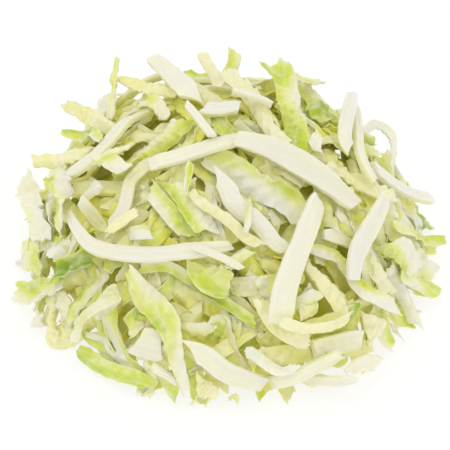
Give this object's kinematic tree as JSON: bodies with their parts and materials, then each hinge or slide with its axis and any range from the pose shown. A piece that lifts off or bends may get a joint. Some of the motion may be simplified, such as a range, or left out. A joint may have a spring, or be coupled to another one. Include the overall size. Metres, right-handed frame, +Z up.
{
  "type": "heap of shredded cabbage",
  "caption": "Dome-shaped heap of freshly cut white cabbage shreds, with thick white rib pieces and thin pale and green leaf pieces lying on one another.",
  "frame": {"origin": "middle of the flat spot that the heap rests on", "axes": "+Z up from the surface that it rests on; -Y towards the viewer; +X to the viewer's right"},
  "size_m": [0.1521, 0.1485, 0.0642],
  "materials": {
    "rib": "fresh-cut white cabbage rib: moist, smooth, slightly translucent, with fine fibres along it",
    "heart": "cream to yellow inner leaf: moist, crinkled, slightly translucent",
    "leaf": "pale leaf: thin, crinkled, moist satin",
    "green_leaf": "green outer leaf: thin, crinkled, moist satin, with pale veins",
    "mixed_shreds": "mixed white, cream and pale green cut leaf, moist satin"
  },
  "bodies": {
    "root": {"green_shred_01": "green_leaf", "green_shred_02": "green_leaf", "green_shred_03": "green_leaf", "green_shred_04": "green_leaf", "green_shred_05": "green_leaf", "green_shred_06": "green_leaf", "green_shred_07": "green_leaf", "green_shred_08": "green_leaf", "green_shred_09": "green_leaf", "heart_shred_01": "heart", "heart_shred_02": "heart", "heart_shred_03": "heart", "heart_shred_04": "heart", "heart_shred_05": "heart", "heart_shred_06": "heart", "heart_shred_07": "heart", "heart_shred_08": "heart", "heart_shred_09": "heart", "heart_shred_10": "heart", "heart_shred_11": "heart", "heart_shred_12": "heart", "leaf_shred_01": "leaf", "leaf_shred_02": "leaf", "leaf_shred_03": "leaf", "leaf_shred_04": "leaf", "leaf_shred_05": "leaf", "leaf_shred_06": "leaf", "leaf_shred_07": "leaf", "leaf_shred_08": "leaf", "leaf_shred_09": "leaf", "leaf_shred_10": "leaf", "leaf_shred_11": "leaf", "leaf_shred_12": "leaf", "leaf_shred_13": "leaf", "leaf_shred_14": "leaf", "leaf_shred_15": "leaf", "leaf_shred_16": "leaf", "leaf_shred_17": "leaf", "leaf_shred_18": "leaf", "leaf_shred_19": "leaf", "rib_shred_01": "rib", "rib_shred_02": "rib", "rib_shred_03": "rib", "rib_shred_04": "rib", "rib_shred_05": "rib", "rib_shred_06": "rib", "rib_shred_07": "rib", "rib_shred_08": "rib", "rib_shred_09": "rib", "rib_shred_10": "rib", "rib_shred_11": "rib", "rib_shred_12": "rib", "rib_shred_13": "rib", "rib_shred_14": "rib", "rib_shred_15": "rib", "rib_shred_16": "rib", "rib_shred_17": "rib", "rib_shred_18": "rib", "shred_bed": "mixed_shreds"}
  },
  "joints": []
}
